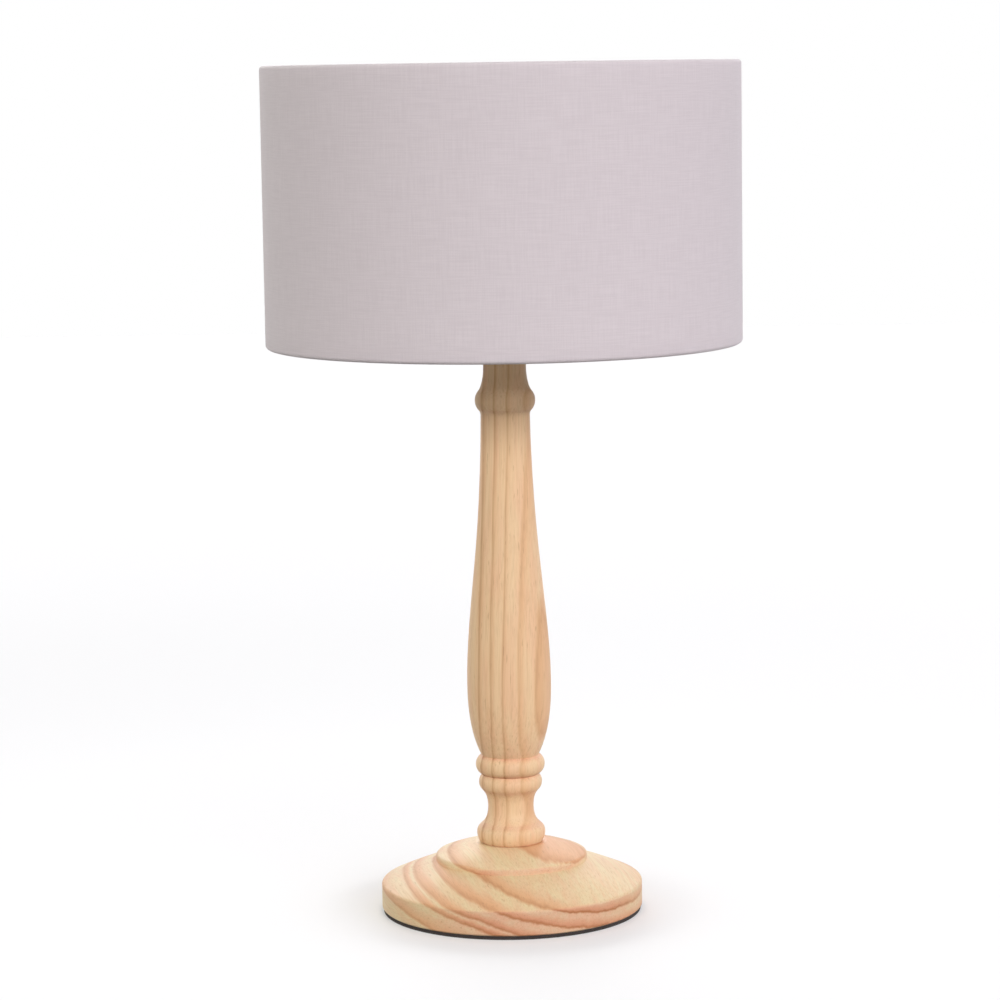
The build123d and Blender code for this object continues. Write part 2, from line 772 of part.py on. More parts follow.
with BuildPart() as bulb_cap:
    with BuildSketch(Plane.XZ):
        # from the insulator outwards, up the outside with its rolled thread,
        # and down again inside at the wall's distance
        with BuildLine():
            Line((insulator_radius, bulb_cap_z), (thread_root_radius, bulb_thread_z))
            for turn in range(bulb_thread_turns):
                turn_z = bulb_thread_z + turn * bulb_thread_pitch
                ThreePointArc(
                    (thread_root_radius, turn_z),
                    (bulb_thread_radius, turn_z + bulb_thread_pitch / 2),
                    (thread_root_radius, turn_z + bulb_thread_pitch),
                )
            Polyline(
                (thread_root_radius, bulb_collar_z),
                (bulb_thread_radius, bulb_collar_z + bulb_thread_depth),
                (bulb_thread_radius, glass_z),
                (bulb_thread_radius - bulb_cap_wall, glass_z),
                (bulb_thread_radius - bulb_cap_wall, bulb_collar_z + bulb_thread_depth),
                (thread_root_radius - bulb_cap_wall, bulb_collar_z),
                (thread_root_radius - bulb_cap_wall, bulb_thread_z),
                (insulator_radius - bulb_cap_wall, bulb_cap_z + bulb_cap_wall),
                (insulator_radius, bulb_cap_z),
            )
        make_face()
    revolve(axis=Axis.Z)
bulb_cap.part.label = "bulb_cap"
export_step(bulb_cap.part, "parts/bulb_cap.step")

with BuildPart() as bulb_insulator:
    with BuildSketch(Plane.XZ):
        with BuildLine():
            Polyline(
                (0, insulator_z),
                (bulb_tip_radius, insulator_z),
                (insulator_radius, bulb_cap_z),
                (insulator_radius - bulb_cap_wall, bulb_cap_z + bulb_cap_wall),
                (0, bulb_cap_z + bulb_cap_wall),
                close=True,
            )
        make_face()
    revolve(axis=Axis.Z)
bulb_insulator.part.label = "bulb_insulator"
export_step(bulb_insulator.part, "parts/bulb_insulator.step")

with BuildPart() as bulb_tip:
    with BuildSketch(Plane.XZ):
        with BuildLine():
            TangentArc((0, bulb_z), (bulb_tip_radius, insulator_z), tangent=(1, 0))
            Polyline((bulb_tip_radius, insulator_z), (0, insulator_z), (0, bulb_z))
        make_face()
    revolve(axis=Axis.Z)
bulb_tip.part.label = "bulb_tip"
export_step(bulb_tip.part, "parts/bulb_tip.step")


def glass_outline(inset):
    """Half outline of the candle glass, drawn the given distance inside its surface."""
    Spline(
        (glass_neck_radius - inset, glass_bottom_z),
        (between(glass_neck_radius, glass_radius, 0.38) - inset, between(glass_z, glass_top_z, 0.12)),
        (glass_radius - inset, between(glass_z, glass_top_z, 0.40)),
        (between(0, glass_radius, 0.77) - inset, between(glass_z, glass_top_z, 0.72)),
        (between(0, glass_radius, 0.36) - inset * 0.8, between(glass_z, glass_top_z, 0.94) - inset * 0.6),
        (0, glass_top_z - inset),
        tangents=((0, 1), (-1, 0)),
    )
    Line((0, glass_top_z - inset), (0, glass_bottom_z))
    Line((0, glass_bottom_z), (glass_neck_radius - inset, glass_bottom_z))


with BuildPart() as bulb_glass:
    with BuildSketch(Plane.XZ):
        with BuildLine():
            glass_outline(0)
        make_face()
    revolve(axis=Axis.Z)
    with BuildSketch(Plane.XZ):
        with BuildLine():
            glass_outline(glass_wall)
        make_face()
    revolve(axis=Axis.Z, mode=Mode.SUBTRACT)
bulb_glass.part.label = "bulb_glass"
export_step(bulb_glass.part, "parts/bulb_glass.step")

# The glass foot closes the neck and rises to the stem that carries the leads
with BuildPart() as bulb_stem:
    with BuildSketch(Plane.XZ) as stem_section:
        with BuildLine():
            Polyline(
                (0, stem_top_z),
                (0, glass_bottom_z),
                (stem_base_radius, glass_bottom_z),
                (stem_base_radius, glass_bottom_z + stem_flare_height),
            )
            Spline(
                (stem_base_radius, glass_bottom_z + stem_flare_height),
                (stem_radius, filament_z),
                tangents=((-1, 0), (0, 1)),
            )
            Line((stem_radius, filament_z), (stem_radius, stem_top_z))
            Line((stem_radius, stem_top_z), (0, stem_top_z))
        make_face()
        fillet(corner(stem_section, stem_radius, stem_top_z), radius=stem_radius / 2)
    revolve(axis=Axis.Z)
bulb_stem.part.label = "bulb_stem"
export_step(bulb_stem.part, "parts/bulb_stem.step")

with BuildPart() as bulb_filaments:
    with BuildSketch(Plane.XY.offset(filament_z)):
        with PolarLocations(filament_ring_radius, filament_count):
            Circle(filament_radius)
    extrude(amount=filament_length)
    filament_ends = bulb_filaments.edges().filter_by(GeomType.CIRCLE)
    fillet(filament_ends, radius=filament_radius / 2)
bulb_filaments.part.label = "bulb_filaments"
export_step(bulb_filaments.part, "parts/bulb_filaments.step")

# One lead wire rises from the stem and spreads over the tops of the filaments;
# four short ones hold their feet
with BuildPart() as bulb_leads:
    with BuildSketch(Plane.XY.offset(stem_top_z)):
        Circle(lead_radius)
    extrude(amount=filament_top_z + lead_radius - stem_top_z)
    for index in range(filament_count):
        direction = index * 360 / filament_count
        arm_plane = Plane.YZ.rotated((0, 0, direction))
        with BuildSketch(arm_plane):
            with Locations((0, filament_top_z + lead_radius)):
                Circle(lead_radius)
        extrude(amount=filament_ring_radius)
        with BuildSketch(arm_plane.offset(stem_radius)):
            with Locations((0, filament_z - lead_radius)):
                Circle(lead_radius)
        extrude(amount=filament_ring_radius - stem_radius)
bulb_leads.part.label = "bulb_leads"
export_step(bulb_leads.part, "parts/bulb_leads.step")
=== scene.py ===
"""A column table lamp: finishes, shade cloth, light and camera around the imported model.

Metres. +Z is up, +Y is the back, and the origin is the centre of the underside.
"""

import logging
import math
from collections.abc import Sequence
from dataclasses import dataclass, field
from enum import Enum
from typing import Any

import bpy
import numpy as np
from mathutils import Matrix, Vector


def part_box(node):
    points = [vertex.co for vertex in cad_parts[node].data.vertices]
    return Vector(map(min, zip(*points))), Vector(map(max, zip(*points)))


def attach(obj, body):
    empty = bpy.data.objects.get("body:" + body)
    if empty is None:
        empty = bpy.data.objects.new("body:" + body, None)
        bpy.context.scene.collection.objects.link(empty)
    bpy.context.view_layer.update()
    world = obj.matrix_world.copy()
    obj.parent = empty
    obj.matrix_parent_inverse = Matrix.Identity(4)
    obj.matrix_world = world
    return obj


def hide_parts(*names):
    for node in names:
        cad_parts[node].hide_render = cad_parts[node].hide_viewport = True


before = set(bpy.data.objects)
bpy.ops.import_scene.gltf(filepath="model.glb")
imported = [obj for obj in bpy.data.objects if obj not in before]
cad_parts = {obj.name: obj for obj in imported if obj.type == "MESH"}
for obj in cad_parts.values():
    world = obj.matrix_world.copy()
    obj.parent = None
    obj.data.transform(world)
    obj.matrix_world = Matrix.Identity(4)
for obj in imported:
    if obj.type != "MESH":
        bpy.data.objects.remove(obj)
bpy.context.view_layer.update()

log = logging.getLogger("lamp")

MM = 0.001
Colour = tuple[float, float, float]
Point = tuple[float, float, float]
Scale = tuple[float, float, float]
Pair = tuple[float, float]
Step = tuple[float, ...]
Link = bpy.types.NodeSocket


class Blend(Enum):
    """How one colour is laid over another."""

    PLAIN = "MIX"
    DARKEN = "MULTIPLY"


class Body(Enum):
    """The moving bodies of the lamp that new pieces ride on."""

    SHADE = "shade"


# ---- shader maths


@dataclass(frozen=True)
class Value:
    """A number that runs through a shader, with arithmetic that adds Math nodes."""

    graph: "Graph"
    socket: Link

    def _math(self, operation: str, *inputs: Any) -> "Value":
        """Add one Math node.

        Args:
            operation: The Math node's operation.
            inputs: Its inputs, as numbers or values.

        Returns:
            The node's result.
        """
        settings = {"operation": operation}
        node = self.graph.node("ShaderNodeMath", settings, dict(enumerate(inputs)))
        return Value(self.graph, node.outputs[0])

    def __add__(self, other: Any) -> "Value":
        """This value plus another."""
        return self._math("ADD", self, other)

    def __radd__(self, other: Any) -> "Value":
        """Another value plus this one."""
        return self._math("ADD", other, self)

    def __sub__(self, other: Any) -> "Value":
        """This value less another."""
        return self._math("SUBTRACT", self, other)

    def __rsub__(self, other: Any) -> "Value":
        """Another value less this one."""
        return self._math("SUBTRACT", other, self)

    def __mul__(self, other: Any) -> "Value":
        """This value times another."""
        return self._math("MULTIPLY", self, other)

    def __rmul__(self, other: Any) -> "Value":
        """Another value times this one."""
        return self._math("MULTIPLY", other, self)

    def __truediv__(self, other: Any) -> "Value":
        """This value divided by another."""
        return self._math("DIVIDE", self, other)

    def __pow__(self, other: Any) -> "Value":
        """This value to a power."""
        return self._math("POWER", self, other)

    def sine(self) -> "Value":
        """The sine of this value."""
        return self._math("SINE", self)

    def at_least(self, other: Any) -> "Value":
        """The larger of this value and another."""
        return self._math("MAXIMUM", self, other)

    def at_most(self, other: Any) -> "Value":
        """The smaller of this value and another."""
        return self._math("MINIMUM", self, other)

    def step_between(
        self, low: float, high: float, to_low: float = 0.0, to_high: float = 1.0
    ) -> "Value":
        """A smooth step of this value.

        Args:
            low: Where the step starts.
            high: Where it ends.
            to_low: The result below the step.
            to_high: The result above it.

        Returns:
            The stepped value.
        """
        settings = {"interpolation_type": "SMOOTHSTEP"}
        inputs = {
            "Value": self, "From Min": low, "From Max": high, "To Min": to_low, "To Max": to_high,
        }
        node = self.graph.node("ShaderNodeMapRange", settings, inputs)
        return Value(self.graph, node.outputs["Result"])


class Graph:
    """The nodes of one material or world."""

    def __init__(self, tree: bpy.types.NodeTree) -> None:
        """Start with an empty tree.

        Args:
            tree: The node tree to fill.
        """
        self.tree = tree
        tree.nodes.clear()

    def node(self, kind: str, settings: dict[str, Any], inputs: dict[Any, Any]) -> bpy.types.Node:
        """Add a node of any kind.

        Args:
            kind: The node's type name.
            settings: Its properties, set first. A ramp's stops go under "stops".
            inputs: Values or links of its sockets, by name or by number.

        Returns:
            The new node.
        """
        node = self.tree.nodes.new(kind)
        for name, value in settings.items():
            if name == "stops":
                self._set_stops(node.color_ramp, value)
            else:
                setattr(node, name, value)
        for name, value in inputs.items():
            socket = node.inputs[name]
            if isinstance(value, Value):
                self.tree.links.new(value.socket, socket)
            elif isinstance(value, Link):
                self.tree.links.new(value, socket)
            elif isinstance(value, tuple) and len(value) == 3 and len(socket.default_value) == 4:
                socket.default_value = (*value, 1.0)
            else:
                socket.default_value = value
        return node

    @staticmethod
    def _set_stops(ramp: bpy.types.ColorRamp, stops: Sequence[tuple[float, Colour]]) -> None:
        """Set a ramp's stops, from low to high.

        Args:
            ramp: The ramp to set.
            stops: Pairs of a place from 0 to 1 and a colour.
        """
        while len(ramp.elements) > 1:
            ramp.elements.remove(ramp.elements[-1])
        ramp.elements[0].position = stops[0][0]
        ramp.elements[0].color = (*stops[0][1], 1.0)
        for place, colour in stops[1:]:
            ramp.elements.new(place).color = (*colour, 1.0)

    def ramp(self, factor: Any, stops: Sequence[tuple[float, Colour]]) -> Link:
        """A colour ramp over a value.

        Args:
            factor: The value, from 0 to 1.
            stops: Pairs of a place from 0 to 1 and a colour, from low to high.

        Returns:
            The ramp's colour.
        """
        return self.node("ShaderNodeValToRGB", {"stops": stops}, {"Fac": factor}).outputs["Color"]

    def mix(self, factor: Any, first: Any, second: Any, blend: Blend = Blend.PLAIN) -> Link:
        """Mix two colours.

        Args:
            factor: How much of the second one shows.
            first: A colour or its link.
            second: A colour or its link.
            blend: How the second is laid over the first.

        Returns:
            The mixed colour.
        """
        settings = {"data_type": "RGBA", "blend_type": blend.value}
        return self.node("ShaderNodeMix", settings, {0: factor, 6: first, 7: second}).outputs[2]

    def place(self) -> Link:
        """The point on the object, in metres."""
        return self.node("ShaderNodeTexCoord", {}, {}).outputs["Object"]

    def mapped(
        self, vector: Any, scale: Scale, turn: Point = (0, 0, 0), shift: Point = (0, 0, 0)
    ) -> Link:
        """A vector scaled, then turned, then shifted.

        Args:
            vector: The vector's link.
            scale: Factors along X, Y and Z.
            turn: Angles about X, Y and Z.
            shift: What is added at the end.

        Returns:
            The mapped vector.
        """
        inputs = {"Vector": vector, "Scale": scale, "Rotation": turn, "Location": shift}
        return self.node("ShaderNodeMapping", {}, inputs).outputs["Vector"]

    def parts(self, vector: Any) -> tuple[Value, Value, Value]:
        """The X, Y and Z of a vector.

        Args:
            vector: The vector's link.

        Returns:
            Its three values.
        """
        node = self.node("ShaderNodeSeparateXYZ", {}, {0: vector})
        return tuple(Value(self, socket) for socket in node.outputs)

    def noise(
        self, vector: Any, scale: float, detail: float = 2.0, roughness: float = 0.5
    ) -> Value:
        """Soft noise from 0 to 1.

        Args:
            vector: Where it is read.
            scale: How many lumps there are to a unit of the vector.
            detail: How many finer layers are added.
            roughness: How strong the finer layers are.

        Returns:
            The noise.
        """
        inputs = {"Vector": vector, "Scale": scale, "Detail": detail, "Roughness": roughness}
        return Value(self, self.node("ShaderNodeTexNoise", {}, inputs).outputs[0])

    def stretched_noise(
        self, vector: Any, scale: Scale, detail: float = 2.0, roughness: float = 0.5
    ) -> Value:
        """Soft noise from 0 to 1 with its own number of lumps to a unit along X, Y and Z.

        Args:
            vector: Where it is read.
            scale: How many lumps there are to a unit along each axis.
            detail: How many finer layers are added.
            roughness: How strong the finer layers are.

        Returns:
            The noise.
        """
        return self.noise(self.mapped(vector, scale), 1.0, detail, roughness)

    def facing(self, direction: Point) -> Value:
        """The cosine between the surface's normal and a fixed direction on the object.

        Args:
            direction: The direction, of any length.

        Returns:
            The cosine, from -1 to 1.
        """
        normal = self.node("ShaderNodeTexCoord", {}, {}).outputs["Normal"]
        inputs = {0: normal, 1: tuple(Vector(direction).normalized())}
        node = self.node("ShaderNodeVectorMath", {"operation": "DOT_PRODUCT"}, inputs)
        return Value(self, node.outputs["Value"])

    def cells(self, vector: Any, scale: float) -> Value:
        """Distance to the nearest of many scattered points.

        Args:
            vector: Where it is read.
            scale: How many points there are to a unit of the vector.

        Returns:
            The distance, in units of the points' spacing.
        """
        node = self.node("ShaderNodeTexVoronoi", {}, {"Vector": vector, "Scale": scale})
        return Value(self, node.outputs["Distance"])

    def bump(self, height: Value, strength: float, distance: float) -> Link:
        """A bumped normal.

        Args:
            height: The height, from 0 to 1.
            strength: How much of the bump shows.
            distance: How far a height of 1 stands up, in metres.

        Returns:
            The normal.
        """
        inputs = {"Height": height, "Strength": strength, "Distance": distance}
        return self.node("ShaderNodeBump", {}, inputs).outputs["Normal"]

    def surface(self, **inputs: Any) -> None:
        """Finish a material with one Principled shader, with its sockets by name."""
        named = {name.replace("_", " "): value for name, value in inputs.items()}
        shader = self.node("ShaderNodeBsdfPrincipled", {}, named)
        self.node("ShaderNodeOutputMaterial", {}, {"Surface": shader.outputs[0]})


def new_graph(name: str) -> tuple[bpy.types.Material, Graph]:
    """Make an empty material.

    Args:
        name: The material's name.

    Returns:
        The material and its graph.
    """
    material = bpy.data.materials.new(name)
    material.use_nodes = True
    return material, Graph(material.node_tree)


# ---- finishes


@dataclass(frozen=True)
class Ring:
    """One growth ring.

    Attributes:
        radius: Where its late wood ends, from the pith.
        width: How far it warms before that.
        strength: How dark its line of late wood is, from 0 to 1.
        line: How wide that line is.
        warmth: How warm the wood before it gets, from 0 to 1.
    """

    radius: float
    width: float
    strength: float
    line: float = 1.6 * MM
    warmth: float = 0.6


@dataclass(frozen=True)
class Pine:
    """Satin lacquered pine, cut from a log whose pith is a line in space.

    The distance of a point from the pith, a little wavy, says where it lies among the
    growth rings. A ring warms slowly outwards and ends in a narrow line of late wood.
    Fibres, streaks and resin flecks are noise drawn out along the pith. Where the saw
    cut across the grain, the late wood is darker and the whole wood redder.

    Attributes:
        pith: A point on the pith.
        grain: The pith's direction.
        rings: The growth rings, from the pith outwards.
        end_tint: What end grain is multiplied by.
        end_contrast: How much darker late wood is on end grain.
        blush_share: How much of the blush shows where its clouds are thickest.
        blush_step: Noise between which the blush comes in.
        fleck_step: The same for resin flecks, then how much they show below and above.
        end_step: Squared cosines to the pith between which end grain comes in.
        streak_start: Noise above which a streak is warm, and streak_gain its rate.
        fibre_start: Noise above which a fibre is dark, and fibre_gain its rate.
        late_share: How dark late wood is, and late_streaks how streaky.
        waviness: How far the rings wander from true circles.
    """

    name: str
    pith: Point
    grain: Point
    rings: tuple[Ring, ...]
    early_wood: Colour = (0.775, 0.545, 0.322)
    warm_wood: Colour = (0.740, 0.440, 0.235)
    late_wood: Colour = (0.450, 0.195, 0.070)
    blush: Colour = (0.770, 0.430, 0.270)
    fleck: Colour = (0.400, 0.200, 0.095)
    end_tint: Colour = (0.94, 0.81, 0.87)
    end_contrast: float = 0.75
    blush_share: float = 0.36
    blush_step: Pair = (0.40, 0.66)
    fleck_step: Step = (0.66, 0.76, 0.0, 0.34)
    end_step: Pair = (0.20, 0.85)
    streak_start: float = 0.42
    streak_gain: float = 1.1
    fibre_start: float = 0.46
    fibre_gain: float = 0.9
    late_share: float = 0.72
    late_streaks: float = 0.8
    waviness: float = 1.3 * MM
    roughness: float = 0.46
    roughness_spread: float = 0.16
    specular: float = 0.20
    coat: float = 0.06
    coat_roughness: float = 0.28
    bump: Pair = (0.10, 0.08 * MM)
    slow_wave_scale: Scale = (45, 45, 9)
    quick_wave_scale: Scale = (380, 380, 26)
    fibre_scale: Scale = (1500, 1500, 40)
    streak_scale: Scale = (420, 420, 10)
    cloud_scale: Scale = (150, 150, 20)
    fleck_scale: Scale = (950, 950, 120)

    def _log_frame(self) -> tuple[Point, Point]:
        """Turn and shift that put the pith on the Z axis.

        Returns:
            The turn about X, Y and Z, and the shift.
        """
        turn = Vector(self.grain).to_track_quat("Z", "Y").inverted()
        shift = -(turn @ Vector(self.pith))
        return tuple(turn.to_euler()), tuple(shift)

    def _stops(self) -> tuple[float, float, list[tuple[float, Colour]]]:
        """The ramp over the distance from the pith.

        Its red part says how warm the wood is, and its green part how much late wood
        there is.

        Returns:
            The ramp's first and last distance, and its stops.
        """
        low = self.rings[0].radius - 2 * self.rings[0].width
        high = self.rings[-1].radius + 2 * self.rings[-1].width
        stops = [(0.0, (0.0, 0.0, 0.0))]
        for ring in self.rings:
            for offset, warm, late in (
                (-ring.width, 0.0, 0.0),
                (-ring.line, 0.9, 0.2),
                (-0.15 * ring.line, 1.0, 1.0),
                (0.5 * ring.line, 0.0, 0.0),
            ):
                place = (ring.radius + offset - low) / (high - low)
                stops.append((place, (warm * ring.warmth, late * ring.strength, 0.0)))
        return low, high, stops

    def _ring_tones(self, g: Graph, log_place: Link) -> tuple[Value, Value]:
        """How warm the wood is, and how much late wood there is.

        The distance from the pith is the root of the squares of the two lengths across
        it. Slow and quick noise make it wavy.

        Args:
            g: The material's graph.
            log_place: The point in the log, with the pith on the Z axis.

        Returns:
            Both tones, from 0 to 1.
        """
        across_x, across_y, _ = g.parts(log_place)
        slow = g.stretched_noise(log_place, self.slow_wave_scale)
        quick = g.stretched_noise(log_place, self.quick_wave_scale)
        distance = (across_x * across_x + across_y * across_y) ** 0.5
        wander = (slow - 0.5) * (2 * self.waviness) + (quick - 0.5) * (0.9 * self.waviness)
        low, high, stops = self._stops()
        warm, late, _ = g.parts(g.ramp((distance + wander - low) / (high - low), stops))
        return warm, late

    def build(self) -> bpy.types.Material:
        """Make the material.

        Returns:
            The wood.
        """
        material, g = new_graph(self.name)
        turn, shift = self._log_frame()
        log_place = g.mapped(g.place(), (1, 1, 1), turn, shift)
        warm, late = self._ring_tones(g, log_place)
        fibre = g.stretched_noise(log_place, self.fibre_scale, roughness=0.65)
        streak = g.stretched_noise(log_place, self.streak_scale, roughness=0.6)
        cloud = g.stretched_noise(log_place, self.cloud_scale)
        flecks = g.stretched_noise(log_place, self.fleck_scale, detail=1.0)
        across_cut = g.facing(self.grain)
        end_grain = (across_cut * across_cut).step_between(*self.end_step)
        blushing = cloud.step_between(*self.blush_step, 0.0, self.blush_share)
        wood = g.mix(blushing, self.early_wood, self.blush)
        wood = g.mix(warm, wood, self.warm_wood)
        warm_streak = (streak - self.streak_start).at_least(0.0) * self.streak_gain
        wood = g.mix(warm_streak, wood, self.warm_wood)
        streaky = self.late_share + (streak - 0.5) * self.late_streaks
        dark = late * (streaky + end_grain * self.end_contrast)
        wood = g.mix(dark.at_least(0.0).at_most(1.0), wood, self.late_wood)
        dark_fibre = (fibre - self.fibre_start).at_least(0.0) * self.fibre_gain
        wood = g.mix(dark_fibre, wood, self.fleck)
        wood = g.mix(flecks.step_between(*self.fleck_step), wood, self.fleck)
        wood = g.mix(end_grain, wood, g.mix(1.0, wood, self.end_tint, Blend.DARKEN))
        g.surface(
            Base_Color=wood,
            Roughness=self.roughness + (fibre - 0.5) * self.roughness_spread,
            Specular_IOR_Level=self.specular,
            Coat_Weight=self.coat,
            Coat_Roughness=self.coat_roughness,
            Normal=g.bump(fibre, *self.bump),
        )
        return material


@dataclass(frozen=True)
class Cloth:
    """Plain woven cloth, read from the sheet's own lengths along and across in metres.

    Attributes:
        colour: The cloth's mean colour.
        shade_colour: Thin threads, and the painted shade in the gaps between threads.
        slub_colour: Thick threads.
        evenness: How much the mean colour hides the threads' own.
        pitch: How far apart the threads lie.
        drift: How far they wander, as an angle of their sine.
        drift_scale: Lumps of that wandering to a metre, across and along a thread.
        slub_scale: Thick places to a metre, across and along a thread.
        speck_scale: Specks to a metre.
        slub_mix: How much the weft's and the warp's thick places count.
        slub_step: Their noise between which thin threads turn into thick ones.
        painted_gap_shade_step: Weave heights of a gap and of a thread, then how much painted shade
            each gets.
        speck_step: Noise between which specks come in, then how dark they are.
        height_mix: How much the weave and the thick places count in the height.
        bump: How much of the height shows, and how high it is.
    """

    name: str
    colour: Colour = (0.640, 0.570, 0.585)
    shade_colour: Colour = (0.560, 0.495, 0.510)
    slub_colour: Colour = (0.720, 0.655, 0.665)
    evenness: float = 0.68
    pitch: float = 0.55 * MM
    drift: float = 1.4
    drift_scale: Pair = (900, 14)
    slub_scale: Pair = (1500, 55)
    speck_scale: float = 600
    slub_mix: Pair = (0.55, 0.45)
    slub_step: Pair = (0.36, 0.64)
    painted_gap_shade_step: Step = (0.1, 0.9, 0.22, 0.0)
    speck_step: Step = (0.66, 0.80, 0.0, 0.35)
    height_mix: Pair = (0.7, 0.3)
    roughness: float = 0.86
    roughness_spread: float = 0.2
    sheen: float = 0.25
    sheen_roughness: float = 0.50
    bump: Pair = (0.35, 0.12 * MM)

    def _threads(self, g: Graph, place: Link) -> Value:
        """The height of the weave, from 0 to 1.

        The warp's ridge is the square of the sine of the length along the sheet, and the
        weft's is the same across it. Half their sines' product plus one half says which of
        the two lies on top, so they swap at every crossing.

        Args:
            g: The material's graph.
            place: The lengths along and across the sheet.

        Returns:
            The height.
        """
        along, across, _ = g.parts(place)
        fine, coarse = self.drift_scale
        warp_drift = g.stretched_noise(place, (fine, coarse, 1), detail=1.0)
        weft_drift = g.stretched_noise(place, (coarse, fine, 1), detail=1.0)
        turns = math.pi / self.pitch
        warp = (along * turns + warp_drift * self.drift).sine()
        weft = (across * turns + weft_drift * self.drift).sine()
        weave = (warp * weft) * 0.5 + 0.5
        return warp * warp * weave + weft * weft * (1 - weave)

    def build(self) -> bpy.types.Material:
        """Make the material.

        Returns:
            The cloth's finish.
        """
        material, g = new_graph(self.name)
        place = g.node("ShaderNodeUVMap", {"uv_map": "cut"}, {}).outputs[0]
        threads = self._threads(g, place)
        fine, coarse = self.slub_scale
        weft_slub = g.stretched_noise(place, (coarse, fine, 1), roughness=0.6)
        warp_slub = g.stretched_noise(place, (fine, coarse, 1), roughness=0.6)
        slub = weft_slub * self.slub_mix[0] + warp_slub * self.slub_mix[1]
        speck = g.stretched_noise(place, (self.speck_scale, self.speck_scale, 1), detail=1.0)
        cloth = g.mix(slub.step_between(*self.slub_step), self.shade_colour, self.slub_colour)
        cloth = g.mix(self.evenness, cloth, self.colour)
        # painted shade: where the weave is low, between threads, the cloth is darkened towards
        # shade_colour
        cloth = g.mix(threads.step_between(*self.painted_gap_shade_step), cloth, self.shade_colour)
        cloth = g.mix(speck.step_between(*self.speck_step), cloth, self.shade_colour)
        height = threads * self.height_mix[0] + slub * self.height_mix[1]
        g.surface(
            Base_Color=cloth,
            Roughness=self.roughness + (slub - 0.5) * self.roughness_spread,
            Sheen_Weight=self.sheen,
            Sheen_Roughness=self.sheen_roughness,
            Normal=g.bump(height, *self.bump),
        )
        return material


@dataclass(frozen=True)
class Moulded:
    """A moulded, glazed or coated skin: one colour, clouded a little, over fine pebbles.

    Attributes:
        colour: The skin's colour.
        cloud_colour: Its colour where it is clouded.
        roughness: Its mean roughness.
        pebble: How wide a pebble is.
        relief: How far a pebble stands up.
        coat: How much clear coat lies over it.
        cloud_scale: Clouds to a metre.
    """

    name: str
    colour: Colour
    cloud_colour: Colour
    roughness: float
    pebble: float
    relief: float
    coat: float = 0.0
    coat_roughness: float = 0.08
    cloud_scale: float = 120.0
    cloud_step: Pair = (0.35, 0.65)
    roughness_spread: float = 0.12
    pebble_strength: float = 0.4

    def build(self) -> bpy.types.Material:
        """Make the material.

        Returns:
            The skin.
        """
        material, g = new_graph(self.name)
        place = g.place()
        cloud = g.noise(place, self.cloud_scale)
        pebbles = g.noise(place, 1 / self.pebble)
        g.surface(
            Base_Color=g.mix(cloud.step_between(*self.cloud_step), self.colour, self.cloud_colour),
            Roughness=self.roughness + (cloud - 0.5) * self.roughness_spread,
            Coat_Weight=self.coat,
            Coat_Roughness=self.coat_roughness,
            Normal=g.bump(pebbles, self.pebble_strength, self.relief),
        )
        return material


@dataclass(frozen=True)
class Metal:
    """Plated or rolled metal, dulled in patches, with fine turning marks about the Z axis.

    Attributes:
        colour: The metal's colour.
        dull_colour: Its colour where it is dull.
        roughness: Its mean roughness.
        marks: How far apart the turning marks lie.
        patch_scale: Dull patches to a metre.
        patch_step: Noise between which a patch comes in.
        patch_spread: How much the patches change the roughness.
        marks_spread: How much the turning marks change it.
        metallic: How metallic it is, and how much more where it is dull.
        bump: How much of the marks shows, and how high they are.
    """

    name: str
    colour: Colour
    dull_colour: Colour
    roughness: float
    marks: float = 0.12 * MM
    patch_scale: float = 210.0
    patch_step: Pair = (0.40, 0.66)
    patch_spread: float = 0.25
    marks_spread: float = 0.1
    metallic: Pair = (0.96, 0.04)
    bump: Pair = (0.15, 0.02 * MM)

    def build(self) -> bpy.types.Material:
        """Make the material.

        Returns:
            The metal.
        """
        material, g = new_graph(self.name)
        place = g.place()
        dull = g.noise(place, self.patch_scale, 3.0, 0.6)
        turning = g.stretched_noise(place, (60, 60, 1 / self.marks), detail=1.0)
        spread = (dull - 0.5) * self.patch_spread + (turning - 0.5) * self.marks_spread
        g.surface(
            Base_Color=g.mix(dull.step_between(*self.patch_step), self.colour, self.dull_colour),
            Metallic=self.metallic[0] + dull * self.metallic[1],
            Roughness=self.roughness + spread,
            Normal=g.bump(turning, *self.bump),
        )
        return material


@dataclass(frozen=True)
class Glass:
    """Clear thin glass with faint smears."""

    name: str
    colour: Colour = (0.98, 0.985, 0.985)
    smear_colour: Colour = (0.93, 0.94, 0.94)
    smear_scale: Scale = (90, 90, 40)
    smear_step: Pair = (0.45, 0.7)
    roughness_step: Step = (0.5, 0.8, 0.01, 0.06)
    refraction: float = 1.46

    def build(self) -> bpy.types.Material:
        """Make the material.

        Returns:
            The glass.
        """
        material, g = new_graph(self.name)
        smear = g.stretched_noise(g.place(), self.smear_scale, detail=3.0)
        g.surface(
            Base_Color=g.mix(smear.step_between(*self.smear_step), self.colour, self.smear_colour),
            Roughness=smear.step_between(*self.roughness_step),
            IOR=self.refraction,
            Transmission_Weight=1.0,
        )
        return material


@dataclass(frozen=True)
class Foam:
    """Dark closed-cell foam."""

    name: str
    colour: Colour = (0.022, 0.016, 0.014)
    cell_colour: Colour = (0.045, 0.035, 0.030)
    cell: float = 0.5 * MM
    cell_step: Pair = (0.2, 0.7)
    roughness: Pair = (0.85, 0.1)
    bump: Pair = (0.6, 0.1 * MM)

    def build(self) -> bpy.types.Material:
        """Make the material.

        Returns:
            The foam.
        """
        material, g = new_graph(self.name)
        cells = g.cells(g.place(), 1 / self.cell)
        g.surface(
            Base_Color=g.mix(cells.step_between(*self.cell_step), self.colour, self.cell_colour),
            Roughness=self.roughness[0] + cells * self.roughness[1],
            Normal=g.bump(cells, *self.bump),
        )
        return material


# ---- parts


